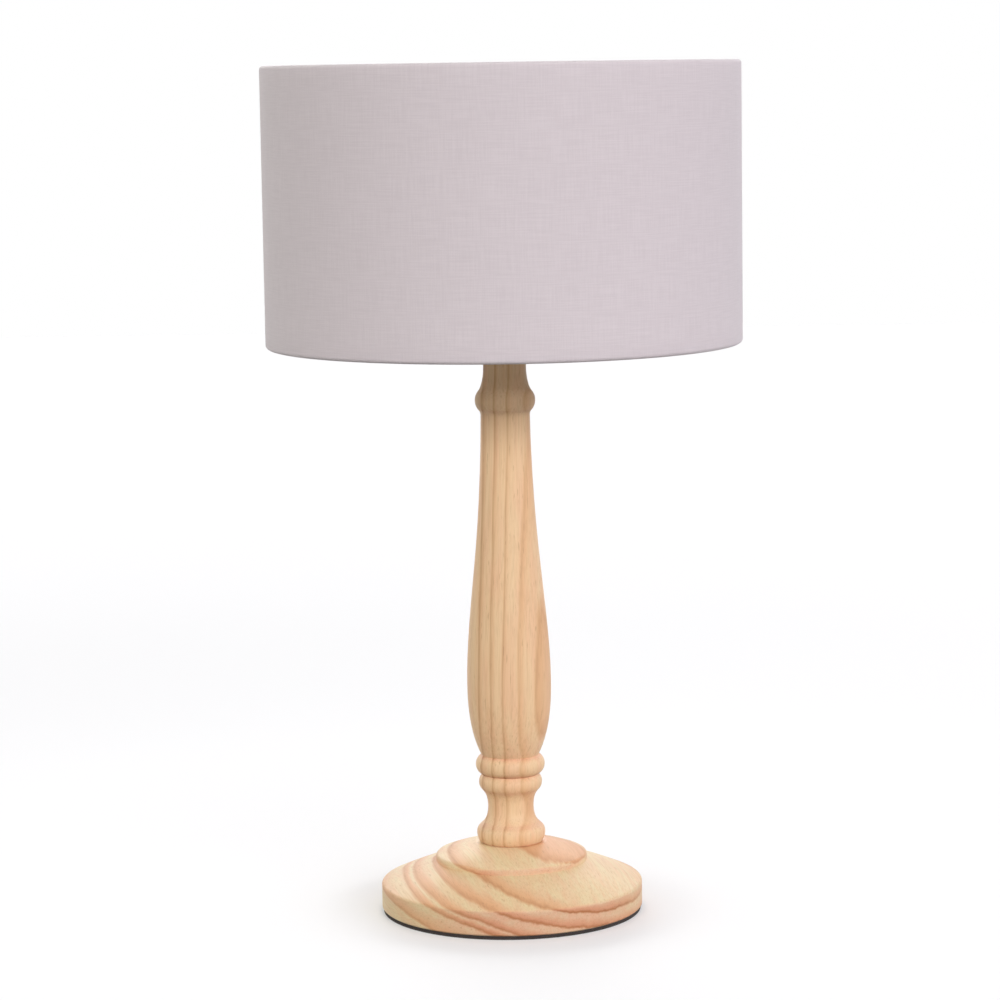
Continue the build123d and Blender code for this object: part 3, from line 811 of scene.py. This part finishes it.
def dress(material: bpy.types.Material, *nodes: str) -> None:
    """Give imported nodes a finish.

    Args:
        material: The finish.
        nodes: The names of the nodes.
    """
    for node in nodes:
        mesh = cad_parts[node].data
        if not mesh.materials:
            mesh.materials.append(material)
        for index in range(len(mesh.materials)):
            mesh.materials[index] = material
        log.info("%s wears %s", node, material.name)


def mesh_object(
    name: str, points: np.ndarray, faces: np.ndarray, cut: np.ndarray, material: bpy.types.Material
) -> bpy.types.Object:
    """Make a smooth quad mesh from arrays.

    Args:
        name: The object's name.
        points: One row of X, Y and Z for each vertex.
        faces: One row of four vertex numbers for each face.
        cut: One row of two lengths for each vertex, for the UV map.
        material: The finish.

    Returns:
        The new object.
    """
    mesh = bpy.data.meshes.new(name)
    mesh.vertices.add(len(points))
    mesh.vertices.foreach_set("co", points.astype(np.float32).ravel())
    mesh.loops.add(faces.size)
    mesh.loops.foreach_set("vertex_index", faces.astype(np.int32).ravel())
    mesh.polygons.add(len(faces))
    mesh.polygons.foreach_set("loop_start", np.arange(0, faces.size, 4, dtype=np.int32))
    mesh.polygons.foreach_set("use_smooth", np.ones(len(faces), dtype=bool))
    layer = mesh.uv_layers.new(name="cut")
    layer.data.foreach_set("uv", cut[faces.ravel()].astype(np.float32).ravel())
    mesh.update(calc_edges=True)
    mesh.validate()
    mesh.materials.append(material)
    piece = bpy.data.objects.new(name, mesh)
    bpy.context.scene.collection.objects.link(piece)
    return piece


@dataclass
class Stand:
    """The turned base and column on their pad, with the cord bush.

    The base is a slice of board whose pith lies high above it and runs nearly from front
    to back. The column's pith runs nearly upright, to the right of it.
    """

    base_pith: Point = (0.0991, -0.0230, 0.4327)
    base_grain: Point = (-0.2847, 0.9515, 0.1157)
    column_pith: Point = (0.0725, -0.0352, 0.150)
    column_grain: Point = (0.025, 0.032, 1.0)
    base_rings: tuple[Ring, ...] = (
        Ring(407.2 * MM, 12.0 * MM, 0.55, 1.6 * MM, 1.0),
        Ring(422.4 * MM, 5.0 * MM, 0.74, 1.6 * MM, 0.9),
        Ring(430.3 * MM, 5.0 * MM, 0.62, 1.6 * MM, 1.0),
        Ring(437.8 * MM, 4.5 * MM, 0.54, 1.8 * MM, 1.0),
        Ring(442.0 * MM, 3.0 * MM, 0.58, 1.6 * MM, 1.0),
        Ring(451.5 * MM, 7.0 * MM, 0.58, 1.6 * MM, 0.9),
    )
    column_rings: tuple[Ring, ...] = (
        Ring(53.5 * MM, 4.5 * MM, 0.32, 2.4 * MM, 0.5),
        Ring(60.9 * MM, 5.0 * MM, 0.42, 1.8 * MM, 0.8),
        Ring(68.6 * MM, 4.0 * MM, 0.32, 1.5 * MM, 0.6),
        Ring(76.8 * MM, 2.6 * MM, 0.62, 1.1 * MM, 0.3),
        Ring(83.7 * MM, 2.6 * MM, 0.68, 1.2 * MM, 0.3),
        Ring(90.8 * MM, 3.0 * MM, 0.80, 1.5 * MM, 0.35),
    )

    def build(self) -> None:
        """Dress the stand."""
        base_wood = Pine(
            "base_pine",
            self.base_pith,
            self.base_grain,
            self.base_rings,
            early_wood=(0.750, 0.590, 0.345),
            warm_wood=(0.750, 0.415, 0.222),
            blush_share=0.30,
            waviness=1.8 * MM,
        )
        column_wood = Pine("column_pine", self.column_pith, self.column_grain, self.column_rings)
        bush_plastic = Moulded(
            "bush_plastic", (0.020, 0.020, 0.021), (0.032, 0.032, 0.033),
            roughness=0.45, pebble=0.35 * MM, relief=0.03 * MM,
        )
        dress(base_wood.build(), "base")
        dress(column_wood.build(), "column")
        dress(Foam("pad_foam").build(), "base_pad")
        dress(bush_plastic.build(), "cord_bush")


@dataclass
class Fastenings:
    """The threaded tube with its nut, washers and screws, in zinc plate."""

    nodes: tuple[str, ...] = (
        "base_washer", "base_nut", "threaded_tube", "top_washer", "grub_screw", "terminal_screws",
    )

    def build(self) -> None:
        """Dress the fastenings."""
        zinc = Metal("zinc_plate", (0.62, 0.62, 0.60), (0.46, 0.46, 0.45), roughness=0.36)
        dress(zinc.build(), *self.nodes)


@dataclass
class Lampholder:
    """The two shells of the lampholder, its shade ring, its switch and its contacts."""

    shells: tuple[str, ...] = ("holder_cap", "holder_barrel", "shade_ring")
    contacts: tuple[str, ...] = ("switch_leaf", "terminals", "screw_shell", "centre_contact")

    def build(self) -> None:
        """Dress the lampholder."""
        white = Moulded(
            "white_plastic", (0.74, 0.73, 0.70), (0.70, 0.69, 0.66),
            roughness=0.30, pebble=0.5 * MM, relief=0.012 * MM, coat=0.1,
        )
        black = Moulded(
            "switch_plastic", (0.018, 0.018, 0.019), (0.028, 0.028, 0.029),
            roughness=0.32, pebble=0.4 * MM, relief=0.01 * MM,
        )
        brass = Metal("contact_brass", (0.78, 0.58, 0.28), (0.58, 0.40, 0.18), roughness=0.30)
        glaze = Moulded(
            "block_glaze", (0.78, 0.76, 0.71), (0.71, 0.69, 0.64),
            roughness=0.25, pebble=0.8 * MM, relief=0.02 * MM, coat=0.4,
        )
        dress(white.build(), *self.shells)
        dress(black.build(), "switch_bar")
        dress(brass.build(), *self.contacts)
        dress(glaze.build(), "terminal_block")


@dataclass
class ShadeFrame:
    """The carrier ring, spokes, rim wires and liner of the shade."""

    wires: tuple[str, ...] = ("carrier_ring", "spider_spokes", "bottom_wire", "top_wire")

    def build(self) -> None:
        """Dress the frame."""
        powder = Moulded(
            "white_powder_coat", (0.78, 0.78, 0.77), (0.73, 0.73, 0.72),
            roughness=0.38, pebble=0.6 * MM, relief=0.03 * MM,
        )
        liner = Moulded(
            "shade_liner", (0.86, 0.85, 0.83), (0.845, 0.835, 0.815),
            roughness=0.50, pebble=1.5 * MM, relief=0.02 * MM,
        )
        dress(powder.build(), *self.wires)
        dress(liner.build(), "shade_liner")


@dataclass
class ShadeCloth:
    """The cloth of the drum: one strip, lapped at the back and rolled over both rim wires.

    The strip is a band of points M(s, t). The length s runs round the drum and t runs
    across the cloth, from the bottom hem inside, round the bottom wire, up the outside,
    round the top wire and down to the top hem. Half a thickness to each side along the
    normal gives its two faces.

    Attributes:
        thickness: The cloth's thickness.
        roll_angle: How far the cloth goes round a wire.
        hem_width: How far a hem reaches from its rim, inside.
        hem_bend: Where a hem starts to bend to its wire, above the wire's centre.
        hem_before_bend: Where the point before that lies, above the wire's centre.
        ease_pull: How far the easing curve's ends lead it straight on.
        lap: How far the strip's end overlaps its start.
        lap_lift: How far the end is lifted off the start.
        lap_run: Over what length it rises.
        notch_half_width: Half the width of the cut-out at a spoke.
        notch_edge: Half the length over which it starts.
        notch_steps: How many steps of the roll it takes off, after the hem.
        spoke_directions: Where the spokes meet the bottom rim, in degrees from +X.
        steps_round: Points round the drum.
        steps_ease: Points along an easing curve.
        steps_roll: Points round a wire.
        steps_side: Points up half the side.
    """

    thickness: float = 0.5 * MM
    roll_angle: float = math.radians(220)
    hem_width: float = 10.0 * MM
    hem_bend: float = 4.4 * MM
    hem_before_bend: float = 6.0 * MM
    ease_pull: float = 1.6 * MM
    lap: float = 10.0 * MM
    lap_lift: float = 0.55 * MM
    lap_run: float = 14.0 * MM
    notch_half_width: float = 2.0 * MM
    notch_edge: float = 0.1 * MM
    notch_steps: int = 5
    spoke_directions: tuple[float, ...] = (90.0, 210.0, 330.0)
    steps_round: int = 600
    steps_ease: int = 8
    steps_roll: int = 14
    steps_side: int = 10
    radius: float = field(init=False)
    bottom: float = field(init=False)
    top: float = field(init=False)
    wire_ring: float = field(init=False)

    def __post_init__(self) -> None:
        """Take the drum's size and the wires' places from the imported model."""
        low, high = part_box("shade_cloth")
        self.radius = (high.x - low.x) / 2
        self.bottom, self.top = low.z, high.z
        wire_low, wire_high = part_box("bottom_wire")
        wire_radius = (wire_high.z - wire_low.z) / 2
        self.wire_ring = (wire_high.x - wire_low.x) / 2 - wire_radius

    def _section(self) -> tuple[np.ndarray, np.ndarray, np.ndarray, int]:
        """The middle line of the cloth, as radius and height, with its outward normal.

        The lower half is a straight hem, a cubic easing curve, an arc about the wire and
        the side up to mid height. The upper half is its mirror image. The normal is the
        line's direction turned by a right angle.

        Returns:
            Points, normals, the length along the line and the arc's first point.
        """
        mid_height = (self.bottom + self.top) / 2
        side = self.radius - self.thickness / 2
        roll = side - self.wire_ring
        centre = self.bottom + roll + self.thickness / 2
        hem = side - 2 * self.thickness
        angle = np.linspace(-self.roll_angle, 0.0, self.steps_roll)
        arc = roll * np.column_stack([np.cos(angle), np.sin(angle)]) + (self.wire_ring, centre)
        leave = np.array([np.sin(angle[0]), -np.cos(angle[0])])
        start = np.array([hem, centre + self.hem_bend])
        u = np.linspace(0.0, 1.0, self.steps_ease)[:, None]
        controls = (
            start, start - (0, self.ease_pull), arc[0] + leave * self.ease_pull, arc[0],
        )
        ease = (
            (1 - u) ** 3 * controls[0] + 3 * u * (1 - u) ** 2 * controls[1]
            + 3 * u**2 * (1 - u) * controls[2] + u**3 * controls[3]
        )
        hem_line = np.array([
            [hem, self.bottom + self.hem_width],
            [hem, centre + self.hem_before_bend],
        ])
        side_line = np.column_stack([
            np.full(self.steps_side, side),
            np.linspace(centre, mid_height, self.steps_side + 1)[1:],
        ])
        lower = np.vstack([hem_line, ease[:-1], arc, side_line])
        upper = lower[-2::-1] * (1, -1) + (0, 2 * mid_height)
        line = np.vstack([lower, upper])
        along = np.gradient(line, axis=0)
        along /= np.linalg.norm(along, axis=1)[:, None]
        normal = np.column_stack([along[:, 1], -along[:, 0]])
        steps = np.linalg.norm(np.diff(line, axis=0), axis=1)
        length = np.concatenate([[0.0], np.cumsum(steps)])
        return line, normal, length, len(hem_line) + len(ease) - 1

    def _rounds(self) -> np.ndarray:
        """Lengths round the drum at which the strip has a row of points.

        They are evenly spaced, with a close pair added at each side of each cut-out.

        Returns:
            The lengths, from 0 at the back.
        """
        full = 2 * math.pi * self.radius
        rows = np.linspace(0.0, full + self.lap, self.steps_round)
        spokes = np.radians((np.array(self.spoke_directions) - 90.0) % 360.0) * self.radius
        sides = np.array([-1.0, 1.0]) * self.notch_half_width
        edges = np.array([-1.0, 1.0]) * self.notch_edge
        marks = (spokes[:, None, None] + sides[:, None] + edges).ravel()
        marks = np.concatenate([marks, marks + full])
        inside = marks[(marks > 0) & (marks < full + self.lap)]
        return np.unique(np.concatenate([rows, inside]))

    def _notch(self, rounds: np.ndarray) -> np.ndarray:
        """Where the strip is cut out for a spoke.

        Args:
            rounds: Lengths round the drum.

        Returns:
            1 for each length that lies at a spoke, and 0 elsewhere.
        """
        turn = (rounds / self.radius)[:, None]
        spokes = np.radians(np.array(self.spoke_directions) - 90.0)
        turn_away = np.abs((turn - spokes + math.pi) % (2 * math.pi) - math.pi)
        away = turn_away.min(axis=1) * self.radius
        return (away < self.notch_half_width).astype(float)

    def _faces(self, index: np.ndarray) -> np.ndarray:
        """Faces of the closed strip.

        Args:
            index: Vertex numbers, one row for each length round the drum. A row goes along
                the outer face and back along the inner one.

        Returns:
            One row of four vertex numbers for each face.
        """
        after = np.roll(index, -1, axis=1)
        quads = np.stack([index[:-1], index[1:], after[1:], after[:-1]], axis=-1).reshape(-1, 4)
        half = index.shape[1] // 2
        ends = []
        for row, order in ((0, (0, 1, 2, 3)), (-1, (3, 2, 1, 0))):
            outer, inner = index[row, :half], index[row, half:][::-1]
            cap = np.stack([outer[:-1], outer[1:], inner[1:], inner[:-1]], axis=-1)
            ends.append(cap[:, order])
        return np.concatenate([quads, *ends])

    def build(self, finish: Cloth) -> bpy.types.Object:
        """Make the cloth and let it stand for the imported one.

        Args:
            finish: The cloth's finish.

        Returns:
            The cloth.
        """
        line, normal, length, arc_start = self._section()
        rounds = self._rounds()
        full = 2 * math.pi * self.radius
        lift = self.lap_lift * np.clip((rounds - full) / self.lap_run + 1.0, 0.0, 1.0) ** 2
        # where a spoke meets the bottom rim the strip starts later, under the wire
        first = length[arc_start + self.notch_steps]
        wanted = np.maximum(length[None, :], (first * self._notch(rounds))[:, None])
        radii, heights, normal_r, normal_z = (
            np.interp(wanted, length, values) for values in (*line.T, *normal.T)
        )
        turn = (math.pi / 2 + rounds / self.radius)[:, None]
        layers = []
        for offset in (self.thickness / 2, -self.thickness / 2):
            reach = offset + lift[:, None]
            r = radii + normal_r * reach
            z = heights + normal_z * reach
            layers.append(np.stack([r * np.cos(turn), r * np.sin(turn), z], axis=-1))
        loop = np.concatenate([layers[0], layers[1][:, ::-1]], axis=1)
        across = np.concatenate([wanted, wanted[:, ::-1]], axis=1)
        along = np.broadcast_to(rounds[:, None], across.shape)
        cut = np.stack([along, across], axis=-1).reshape(-1, 2)
        faces = self._faces(np.arange(across.size).reshape(across.shape))
        piece = mesh_object("drum_cloth", loop.reshape(-1, 3), faces, cut, finish.build())
        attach(piece, Body.SHADE.value)
        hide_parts("shade_cloth")
        log.info("drum cloth cut %.3f by %.3f m", full + self.lap, length[-1])
        return piece


@dataclass
class Bulb:
    """The candle bulb: cap, insulator, contact, glass, stem, leads and filaments."""

    def build(self) -> None:
        """Dress the bulb."""
        nickel = Metal("nickel", (0.66, 0.64, 0.60), (0.52, 0.50, 0.47), roughness=0.28)
        solder = Metal("solder", (0.50, 0.50, 0.50), (0.36, 0.36, 0.37), roughness=0.45)
        vitrite = Moulded(
            "black_vitrite", (0.012, 0.012, 0.013), (0.024, 0.024, 0.026),
            roughness=0.20, pebble=0.7 * MM, relief=0.02 * MM,
        )
        phosphor = Moulded(
            "phosphor", (0.86, 0.55, 0.12), (0.80, 0.47, 0.08),
            roughness=0.60, pebble=0.25 * MM, relief=0.04 * MM,
        )
        dress(nickel.build(), "bulb_cap", "bulb_leads")
        dress(vitrite.build(), "bulb_insulator")
        dress(solder.build(), "bulb_tip")
        dress(Glass("clear_glass").build(), "bulb_glass", "bulb_stem")
        dress(phosphor.build(), "bulb_filaments")


# ---- studio


@dataclass
class Studio:
    """A white room with a band of light, stronger in front and behind, and a pale floor.

    Attributes:
        band_strength: The band's light all round.
        key_strength: What is added from the key's side.
        back_strength: What is added from behind.
        key_azimuth: The key's side, from the front towards +X.
        back_azimuth: The back light's side, from the back towards -X.
        focus: How narrow the key is.
        back_focus: How narrow the back light is.
        band_start: Heights of a direction between which the band starts.
        band_end: Heights between which it ends.
        glow_rise: Heights between which the glow goes from its low to its top strength.
        top_strength: The glow overhead.
        low_strength: The glow at the horizon.
        warm: The light's colour from the left.
        cool: The light's colour from the right.
        floor_colour: The floor as it is seen.
        grain_colour: Its grain.
        grain_share: How much of the grain shows.
        grain_scale: Grains to a metre.
        floor_bounce: The floor's grey for light that goes on to the lamp.
        floor_glow: What a seen floor adds by itself.
        floor_reach: How far the floor goes.
    """

    band_strength: float = 3.10
    key_strength: float = 5.60
    back_strength: float = 8.6
    key_azimuth: float = math.radians(28)
    back_azimuth: float = math.radians(5)
    focus: float = 8.0
    back_focus: float = 14.0
    band_start: Pair = (0.175, 0.225)
    band_end: Pair = (0.42, 0.52)
    glow_rise: Pair = (0.20, 0.60)
    top_strength: float = 0.25
    low_strength: float = 0.03
    warm: Colour = (1.0, 1.0, 0.95)
    cool: Colour = (1.0, 0.99, 1.06)
    floor_colour: Colour = (0.82, 0.82, 0.82)
    grain_colour: Colour = (0.79, 0.79, 0.79)
    grain_share: float = 0.04
    grain_scale: float = 300.0
    floor_bounce: float = 0.20
    floor_glow: float = 0.13
    floor_reach: float = 4.0

    def _seen_plain(self, g: Graph) -> Value:
        """Which rays see the room plain white.

        Args:
            g: The graph of the room or the floor.

        Returns:
            1 for camera, glossy and transmission rays, and 0 for the others.
        """
        node = g.node("ShaderNodeLightPath", {}, {})
        names = ("Is Camera Ray", "Is Glossy Ray", "Is Transmission Ray")
        camera, glossy, through = (Value(g, node.outputs[name]) for name in names)
        return (camera + glossy + through).at_most(1.0)

    def _world(self) -> None:
        """Light the room.

        The strength is a band in the height of the direction, between two smooth steps,
        over a weaker glow. The band grows with a power of the cosine of the angle from
        the key's side and from behind, and the colour cools from left to right.
        """
        world = bpy.data.worlds.new("white_room")
        world.use_nodes = True
        bpy.context.scene.world = world
        g = Graph(world.node_tree)
        way = g.node("ShaderNodeTexCoord", {}, {}).outputs["Generated"]
        across, back, up = g.parts(way)
        level = ((across * across + back * back) ** 0.5).at_least(0.01)
        key_x, key_y = math.sin(self.key_azimuth), -math.cos(self.key_azimuth)
        back_x, back_y = -math.sin(self.back_azimuth), math.cos(self.back_azimuth)
        from_key = ((across * key_x + back * key_y) / level).at_least(0.0)
        from_back = ((across * back_x + back * back_y) / level).at_least(0.0)
        key = from_key ** self.focus * self.key_strength
        behind = from_back ** self.back_focus * self.back_strength
        band = up.step_between(*self.band_start) * up.step_between(*self.band_end, 1.0, 0.0)
        glow = up.step_between(*self.glow_rise, self.low_strength, self.top_strength)
        strength = band * (key + behind + self.band_strength) + glow
        colour = g.mix(across * 0.5 + 0.5, self.warm, self.cool)
        lit = g.node("ShaderNodeBackground", {}, {"Color": colour, "Strength": strength})
        white = {"Color": (1.0, 1.0, 1.0), "Strength": 1.0}
        plain = g.node("ShaderNodeBackground", {}, white)
        inputs = {0: self._seen_plain(g), 1: lit.outputs[0], 2: plain.outputs[0]}
        mixed = g.node("ShaderNodeMixShader", {}, inputs)
        g.node("ShaderNodeOutputWorld", {}, {"Surface": mixed.outputs[0]})

    def _floor(self) -> None:
        """Lay the floor: a soft white sheet that shows white but keeps shadows."""
        signs = ((-1, -1), (1, -1), (1, 1), (-1, 1))
        corners = [(x * self.floor_reach, y * self.floor_reach, 0.0) for x, y in signs]
        mesh = bpy.data.meshes.new("floor")
        mesh.from_pydata(corners, [], [(0, 1, 2, 3)])
        material, g = new_graph("white_paper")
        grain = g.noise(g.place(), self.grain_scale, 1.0)
        seen = g.mix(grain * self.grain_share, self.floor_colour, self.grain_colour)
        bounce = (self.floor_bounce,) * 3
        tone = g.mix(self._seen_plain(g), bounce, seen)
        paper = g.node("ShaderNodeBsdfDiffuse", {}, {"Color": tone})
        glow_strength = self._seen_plain(g) * self.floor_glow
        glow = g.node("ShaderNodeEmission", {}, {"Strength": glow_strength})
        both = g.node("ShaderNodeAddShader", {}, {0: paper.outputs[0], 1: glow.outputs[0]})
        g.node("ShaderNodeOutputMaterial", {}, {"Surface": both.outputs[0]})
        mesh.materials.append(material)
        floor = bpy.data.objects.new("floor", mesh)
        bpy.context.scene.collection.objects.link(floor)

    def build(self) -> None:
        """Set up the room."""
        self._world()
        self._floor()
        bpy.context.scene.view_settings.view_transform = "Standard"


@dataclass
class View:
    """The camera of the photograph."""

    place: Point = (-0.0034, -1.7374, 0.4448)
    pitch: float = math.radians(7.369)
    roll: float = math.radians(-0.85)
    focal_length: float = 119.42
    sensor: float = 36.0

    def build(self) -> None:
        """Set up the camera."""
        camera = bpy.data.cameras.new("camera")
        camera.sensor_width = self.sensor
        camera.lens = self.focal_length
        eye = bpy.data.objects.new("camera", camera)
        tilt = Matrix.Rotation(math.pi / 2 - self.pitch, 4, "X")
        lean = Matrix.Rotation(self.roll, 4, "Z")
        eye.matrix_world = Matrix.Translation(self.place) @ tilt @ lean
        bpy.context.scene.collection.objects.link(eye)
        bpy.context.scene.camera = eye


def main() -> None:
    """Build the lamp's looks, then the room and the camera."""
    logging.basicConfig(level=logging.INFO, format="%(name)s: %(message)s")
    View().build()
    Stand().build()
    Fastenings().build()
    Lampholder().build()
    ShadeFrame().build()
    ShadeCloth().build(Cloth("drum_weave"))
    Bulb().build()
    Studio().build()


if __name__ == "__main__":
    main()
